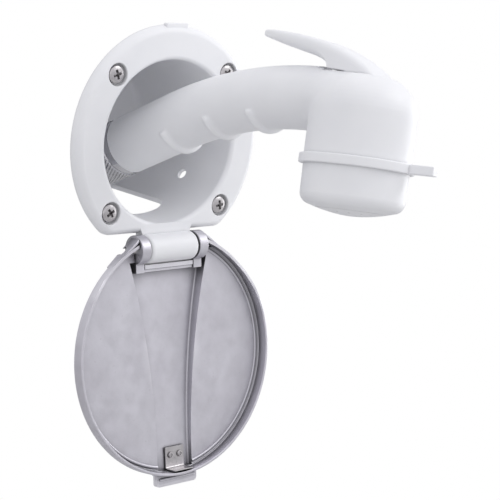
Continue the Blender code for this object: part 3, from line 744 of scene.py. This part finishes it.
def grip_path(start, end, count):
    """Points along the grip's centre between two distances out."""
    places = [grip_point(start + (end - start) * i / (count - 1)) for i in range(count)]
    return [(0, -out, up) for out, up, _ in places]


def tail_frame(distance=0.0):
    """Frame on the grip's axis at its open end; +Z points out of the grip."""
    out, up, _ = grip_point(GRIP_TAIL)
    return SPRAYER @ shift(0, -out, up) @ turn(-90 - GRIP_SLOPE, 'X') @ shift(0, 0, distance)


def head_form():
    """Upright drum of the sprayer's head, with a wide rounded crown."""
    crown = HEAD_CROWN
    profile = [(0, HEAD_TOP + 0.35), (5, HEAD_TOP + 0.25), (HEAD_R - crown, HEAD_TOP)]
    profile += [(HEAD_R - crown + r, HEAD_TOP - crown + h) for r, h in arc(crown, 90, 0, 14)[1:]]
    return turned("head_form", profile + [(HEAD_R, 10), (HEAD_R, -4), (0, -4)], HEAD, 120)


def finger_rib(number):
    """Raised arc under the grip, a little thinner at its very ends."""
    out, up, slope = grip_point(RIB_FIRST + number * RIB_PITCH)
    arc_points = [(across, -out + down * math.sin(slope), up + down * math.cos(slope))
                  for across, down in arc(RIB_RING, -150, -30, 25)]
    radii = [RIB_R] * len(arc_points)
    radii[0] = radii[-1] = RIB_R - 0.4
    return tube("rib", arc_points, radii, SPRAYER, 20)


def sprayer_cutters():
    """Open ends, valve chamber, water way, nut socket, lever pocket and slot, plunger and pin holes."""
    pivot_out, pivot_up = PIVOT_AT
    inner = grip_path(GRIP_TAIL - 9, HEAD_AT[0] - 12, 30)
    low, high = (-POCKET_HALF, -pivot_out - 5, POCKET_FLOOR), (POCKET_HALF, -POCKET_BACK, 62)
    slot_low, slot_high = (-SLOT_HALF, -POCKET_BACK - 3, POCKET_FLOOR + 1), (SLOT_HALF, -SLOT_BACK, 62)
    return [
        block("foot", (-60, -60, -30), (60, 60, HEAD_FOOT), HEAD),
        block("end", (-40, -40, 0), (40, 40, 40), tail_frame()),
        turned("chamber", [(0, 35.5), (19, 35.5), (19, 16), (22, 16), (22, -5), (0, -5)], HEAD, 72),
        tube("bore", inner, [GRIP_BORE] * len(inner), SPRAYER, 32),
        turned("socket", [(0, -15), (12.8, -15), (12.8, 0.1), (13.3, 2), (0, 2)], tail_frame(), 72),
        block("pocket", low, high, SPRAYER, 0.6, 2),
        block("slot", slot_low, slot_high, SPRAYER, 0.6, 2),
        rod("stem", 2.4, (0, VALVE_SHIFT, 30), (0, VALVE_SHIFT, 60), HEAD, 32),
        rod("pin", LEVER_HOLE_R, (-11.6, -pivot_out, pivot_up), (11.6, -pivot_out, pivot_up), SPRAYER, 32),
    ]


def sprayer_body():
    """Grip, finger ribs and head blended into one moulding, then hollowed out."""
    path = grip_path(GRIP_TAIL - 6, HEAD_AT[0] - 4, 60)
    body = tube("sprayer_moulding", path, [GRIP_R] * len(path), SPRAYER, 72)
    join(body, head_form(), shoulder(), *[finger_rib(number) for number in range(3)])
    modify(body, 'REMESH', mode='VOXEL', voxel_size=0.6 * MM, use_smooth_shade=True)
    modify(body, 'SMOOTH', factor=0.5, iterations=3)
    bake(body)
    blend_valley(body)
    cut(body, *sprayer_cutters())
    return piece(body, "sprayer_body", 40)


def shoulder():
    """Widening of the grip into the head, over the upper part of both."""
    steps, start, run = 20, 97.0, 41.0
    rings = []
    for i in range(steps + 1):
        t = i / steps
        out, up, slope = grip_point(start + run * t)
        ease = t * t * (3 - 2 * t)
        wide = GRIP_R - 0.1 + (HEAD_R - 0.5 - GRIP_R) * ease
        top = (1 - ease) * (up + GRIP_R / math.cos(slope) - 0.1) + ease * (HEAD_AT[1] + HEAD_TOP + 0.2)
        tall = GRIP_R - 0.1
        rings.append([(wide * math.cos(a), -out, top - tall + tall * math.sin(a)) for a in turn_angles(72)])
    return surface("shoulder", rings, SPRAYER)


def blend_valley(body):
    """Smooth the valley where the upper part of the grip runs into the head."""
    group = body.vertex_groups.new(name="valley")
    into_head, into_grip = HEAD.inverted(), SPRAYER.inverted()
    core = HEAD_R - HEAD_CROWN
    for vert in body.data.vertices:
        at_head, at_grip = into_head @ (vert.co / MM), into_grip @ (vert.co / MM)
        _, up, slope = grip_point(-at_grip.y)
        off_grip = abs(math.hypot(at_grip.x, (at_grip.z - up) * math.cos(slope)) - GRIP_R)
        across = math.hypot(at_head.x, at_head.y) - core
        over = max(0.0, at_head.z - HEAD_TOP + HEAD_CROWN)
        off_head = abs(math.hypot(max(across, 0.0), over) - HEAD_CROWN)
        near = share(max(off_head, off_grip), 11, 6)
        high = share(at_head.z, 3, 17)
        if near * high > 0 and at_head.y > 0:
            group.add([vert.index], near * high, 'REPLACE')
    modify(body, 'SMOOTH', factor=0.5, iterations=120, vertex_group="valley")
    bake(body)
    body.vertex_groups.clear()


def nose_cap():
    """Screwed-on nose: threaded spigot, collar with a turning tab, skirt and rounded end."""
    half, rim, bend = COLLAR_T / 2, 0.7, 6
    profile = [(18.5, 9.8), (21.6, 9.8), (21.6, half)]
    profile += [(COLLAR_R - rim + r, half - rim + h) for r, h in arc(rim, 90, 0, 5)]
    profile += [(COLLAR_R - rim + r, -half + rim + h) for r, h in arc(rim, 0, -90, 5)]
    profile += [(26.0, -half), (25.9, -9), (25.8, -16)]
    profile += [(25.8 - bend + r, -16 + h) for r, h in arc(bend, 0, -65, 12)[1:]]
    profile += [(17.3, -22.9), (17.3, -20.4), (19.3, -18.5), (19.3, 0)]
    nose = turned("nose_moulding", profile, HEAD, 144)
    low, high = (-TAB_HALF, -TAB_REACH, -half + 0.1), (TAB_HALF, -COLLAR_R + 2, half - 0.1)
    join(nose, block("tab", low, high, HEAD @ turn(TAB_TURN, 'Z'), 0.6, 3))
    return piece(nose, "nose_cap", 32)


def spray_face():
    """Domed rose with a middle jet and two rings of jets."""
    rose_r, rise = 17.0, 2.3
    dome = [(0, -20.6), (rose_r - 0.3, -20.6), (rose_r, -20.9), (rose_r, -23.0)]
    dome += [(rose_r * (1 - t), -23.1 - rise * math.sin(t * math.pi / 2))
             for t in (k / 12 for k in range(1, 12))]
    face = turned("rose", dome + [(0, -23.1 - rise)], HEAD, 120)
    for count, radius in ((1, 0), (6, 5.2), (12, 11.7)):
        for i in range(count):
            a = 2 * math.pi * (i + 0.3) / count
            x, y = radius * math.cos(a), radius * math.sin(a)
            cut(face, turned("jet", [(0, -18), (0.5, -18), (0.5, -26), (0, -26)], HEAD @ shift(x, y, 0), 20))
    return piece(face, "spray_face", 32)


def along_line(points, out):
    """Height of a line of (out, up) points at a distance out."""
    return float(np.interp(out, [p[0] for p in points], [p[1] for p in points]))


def lever_section(out):
    """Rounded section of the lever at a distance out, with smaller lower corners where it enters the head."""
    high, low = along_line(LEVER_TOP, out), along_line(LEVER_UNDER, out)
    blunt = 0.75 + 0.25 * min(1.0, math.sqrt(max(0.0, out - LEVER_TIP + 0.2) / 1.4))
    middle, tall = (high + low) / 2, (high - low) / 2 * blunt
    half = (5.4 + 3.3 * min(1.0, (out - LEVER_TIP) / 18) ** 0.8) * blunt
    over = min(4.2, tall * (0.5 + 0.4 * min(1.0, (out - LEVER_TIP) / 15)))
    below = over + (min(0.8, over) - over) * share(out, 104, 113)
    ring = []
    for side, lift, start, corner in ((1, 1, 0, over), (-1, 1, 90, over), (-1, -1, 180, below),
                                      (1, -1, 270, below)):
        ring += [(side * (half - corner) + x, -out, middle + lift * (tall - corner) + y)
                 for x, y in arc(corner, start, start + 90, 7)]
    return ring


def trigger_lever():
    """Curved wedge with a blunt tip; its stations are closest at the tip and at the step into the head."""
    stations = [LEVER_TIP + 1.2 * (1 - math.cos(math.pi * k / 8)) / 2 for k in range(5)]
    stations += [62.2 + 49.3 * k / 40 for k in range(1, 41)]
    stations += [112.2, 112.8, 113.2, 113.5] + [114 + 30 * k / 24 for k in range(25)] + [144.6]
    lever = surface("lever_moulding", [lever_section(out) for out in stations], SPRAYER)
    out, up = PIVOT_AT
    cut(lever, rod("lever_hole", LEVER_HOLE_R, (-20, -out, up), (20, -out, up), SPRAYER, 32))
    return piece(lever, "trigger_lever", 45)


def return_spring():
    """Coil that the plunger's collar presses down, built at one length; the real one shortens as the valve
    slides.
    """
    turns, steps, wire, radius, low, high = 5, 32, 0.45, 3.3, 16.5, 30.4
    count = steps * turns
    coil = []
    for k in range(count + 1):
        a = 2 * math.pi * k / steps
        height = low + (high - low) * k / count
        coil.append((radius * math.cos(a), VALVE_SHIFT + radius * math.sin(a), height))
    spring = piece(tube("spring_coil", coil, [wire] * len(coil), HEAD, 12), "return_spring", 60)
    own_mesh(spring)


# ---- hose coupling ----
def coupling_nut():
    """Union nut with a smooth band and a diagonal knurl."""
    steps, ribs, depth, crest, twist = 480, 48, 0.8, 16.4, 1.6
    profile = [(11.2, 0.6), (15.3, 0.6), (15.7, 1.0), (15.7, 4.4), (15.2, 4.8), (15.2, 5.4), (15.8, 5.9)]
    profile += [(crest, 6.4 + 18.2 * k / 24) for k in range(25)]
    profile += [(15.9, 25.4), (15.4, 26), (13.2, 26), (13.2, 17), (9.9, 17), (9.9, 9.8), (11.2, 9.8)]
    rings = []
    for r, h in profile:
        grooves = depth if r == crest else 0.0
        reach = [(a, r - grooves * (0.5 + 0.5 * math.cos(ribs * a + h * twist))) for a in turn_angles(steps)]
        rings.append([(out * math.cos(a), out * math.sin(a), h) for a, out in reach])
    return piece(closed_band("union_nut", rings, tail_frame()), "coupling_nut", 50)


# ---- latch ----
def latch():
    """Bent spring strip at the foot of the channel, and its two rivets."""
    thick, bend = 0.6, 1.2
    seat = channel_depth(RIVET_DROP) - LID_FLOOR - 1.3
    stop = LID_DROP + LID_R - LID_WALL - 1.5
    left, right = LATCH_X - LATCH_HALF, LATCH_X + LATCH_HALF
    line = [(seat, 111.5), (seat, 113.5), (seat, stop - 0.1 - bend)]
    line += [(seat - bend + x, stop - bend + y) for x, y in arc(bend, 15, 90, 6)]
    line += [(-6.2, stop), (-6.9, stop - 0.1)]
    rings = []
    for i, (y, drop) in enumerate(line):
        before, after = line[max(i - 1, 0)], line[min(i + 1, len(line) - 1)]
        run = Vector((after[0] - before[0], after[1] - before[1])).normalized()
        side = Vector((run.y, -run.x)) * thick
        rings.append([(left, y, -drop), (right, y, -drop), (right, y + side.x, -drop - side.y),
                      (left, y + side.x, -drop - side.y)])
    clip = surface("latch_clip", rings, LID)
    cut(clip, *rivet_holes())
    soften(clip, 0.12, 40, 2)
    piece(clip, "latch_spring", 40)
    for side, x in RIVET_PLACES:
        profile = [(0, 0.45), (0.75, 0.5), (1.0, 0.95), (1.3, 0.9), (1.65, 0.4), (1.7, 0)]
        profile += [(0.7, 0), (0.7, -3.6), (0, -3.6)]
        at = LID @ shift(x, seat - GAP, -RIVET_DROP) @ turn(90, 'X')
        piece(turned(f"latch_rivet_{side}_head", profile, at, 32), f"latch_rivet_{side}", 35)


housing()
for place, spin in (("top_left", 18), ("top_right", 60), ("bottom_left", 33), ("bottom_right", 8)):
    screw(f"screw_{place}", spin)
lid()
latch()
sprayer_body()
nose_cap()
spray_face()
trigger_lever()
return_spring()
coupling_nut()

REPLACED = {node for obj in bpy.data.objects for node in obj.get("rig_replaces", [])}
for node, obj in frame["nodes"].items():
    if node not in REPLACED:
        obj.data.materials.clear()
        obj.data.materials.append(MATERIALS[SLOT_OF[node]])


# ---- floor, hull face, light and camera ----
def seen_white(nodes, links, surface_shader, facing_only=False):
    """Let a staged surface look white to the eye while it still lights the object as a plain surface."""
    glow = nodes.new("ShaderNodeEmission")
    glow.inputs["Color"].default_value = (1.0, 1.0, 1.0, 1.0)
    path = nodes.new("ShaderNodeLightPath")
    eye = nodes.new("ShaderNodeMixShader")
    mask = path.outputs["Is Camera Ray"]
    if facing_only:
        geometry = nodes.new("ShaderNodeNewGeometry")
        front = nodes.new("ShaderNodeMath")
        front.operation = 'SUBTRACT'
        links.new(mask, front.inputs[0])
        links.new(geometry.outputs["Backfacing"], front.inputs[1])
        front.use_clamp = True
        mask = front.outputs["Value"]
    links.new(mask, eye.inputs["Fac"])
    links.new(surface_shader, eye.inputs[1])
    links.new(glow.outputs["Emission"], eye.inputs[2])
    links.new(eye.outputs["Shader"], nodes["Material Output"].inputs["Surface"])


def stage():
    """Pale floor well below the object."""
    bm = bmesh.new()
    bmesh.ops.create_grid(bm, x_segments=1, y_segments=1, size=6000)
    floor = make("floor", bm, shift(0, 0, -420))
    mat, nodes, links, bsdf = principled("pale_floor")
    tone = ramp(nodes, links, noise(nodes, links, 3, 3), [(0.3, 0.52), (0.7, 0.56)])
    links.new(tone, bsdf.inputs["Base Color"])
    bsdf.inputs["Roughness"].default_value = 0.9
    seen_white(nodes, links, bsdf.outputs["BSDF"])
    floor.data.materials.append(mat)


def hull_face():
    """White face of the hull round the flange, seen from outside only; it hides the cup behind it."""
    steps, inner, outer, y = 96, MOUTH_R + CUP_WALL + 1, 420.0, 0.15 - GASKET_T - GAP
    bm = bmesh.new()
    skin(bm, [[bm.verts.new(p) for p in hoop(radius, y, steps)] for radius in (inner, outer)])
    face = make("hull_face", bm)
    if face.data.polygons[0].normal.y > 0:
        face.data.flip_normals()
    mat, nodes, links, bsdf = principled("hull_white")
    nodes.remove(bsdf)
    clear = nodes.new("ShaderNodeBsdfTransparent")
    seen_white(nodes, links, clear.outputs["BSDF"], facing_only=True)
    face.data.materials.append(mat)


def area_light(name, place, target, size, power):
    """Round soft light at a place, in metres, aimed at a target."""
    light = bpy.data.lights.new(name, 'AREA')
    light.shape = 'DISK'
    light.size = size
    light.energy = power
    obj = bpy.data.objects.new(name, light)
    bpy.context.scene.collection.objects.link(obj)
    obj.location = place
    obj.rotation_euler = (Vector(target) - Vector(place)).to_track_quat('-Z', 'Y').to_euler()


SKY = [(0.25, (0.78, 0.78, 0.80)), (0.75, (0.95, 0.95, 0.975))]


def lights():
    """White backdrop for the eye, a softer sky for the object, and three studio lights."""
    world = bpy.data.worlds.new("studio")
    bpy.context.scene.world = world
    world.use_nodes = True
    bpy.context.scene.view_settings.view_transform = 'Standard'
    nodes, links = world.node_tree.nodes, world.node_tree.links
    seen = nodes["Background"]
    seen.inputs["Color"].default_value = (1.0, 1.0, 1.0, 1.0)
    seen.inputs["Strength"].default_value = 1.0
    coord = nodes.new("ShaderNodeTexCoord")
    split = nodes.new("ShaderNodeSeparateXYZ")
    links.new(coord.outputs["Generated"], split.inputs["Vector"])
    sky = nodes.new("ShaderNodeBackground")
    links.new(ramp(nodes, links, split.outputs["Z"], SKY), sky.inputs["Color"])
    path = nodes.new("ShaderNodeLightPath")
    blend = nodes.new("ShaderNodeMixShader")
    links.new(path.outputs["Is Camera Ray"], blend.inputs["Fac"])
    links.new(sky.outputs["Background"], blend.inputs[1])
    links.new(seen.outputs["Background"], blend.inputs[2])
    links.new(blend.outputs["Shader"], nodes["World Output"].inputs["Surface"])
    target = (0.0, -0.07, 0.0)
    area_light("key", (0.9, -0.9, 0.9), target, 0.9, 5.2)
    area_light("side", (1.2, -0.2, -0.1), target, 0.8, 3.5)
    area_light("fill", (-0.9, -1.1, 0.1), target, 0.9, 0.8)


def camera():
    """Camera fitted to the object: bearing, height and roll in radians, offsets and lens in millimetres."""
    bearing, height, roll = 0.75306943, 0.18674360, 0.06711571
    across, up_shift, distance, lens = -42.894, 58.646, 887.04, 117.24048
    level = math.cos(height)
    back = Vector((-math.sin(bearing) * level, -math.cos(bearing) * level, math.sin(height)))
    right = Vector((math.cos(bearing), -math.sin(bearing), 0))
    up = back.cross(right)
    side = right * math.cos(roll) + up * math.sin(roll)
    top = up * math.cos(roll) - right * math.sin(roll)
    place = (side * -across + top * -up_shift + back * distance - Vector((0, FACE, 0))) * MM
    data = bpy.data.cameras.new("camera")
    data.sensor_width = 36.0
    data.lens = lens
    data.clip_start, data.clip_end = 0.01, 100.0
    obj = bpy.data.objects.new("camera", data)
    bpy.context.scene.collection.objects.link(obj)
    axes = Matrix((side, top, back)).transposed().to_4x4()
    obj.matrix_world = Matrix.Translation(place) @ axes
    bpy.context.scene.camera = obj


stage()
hull_face()
lights()
camera()
bpy.context.view_layer.update()
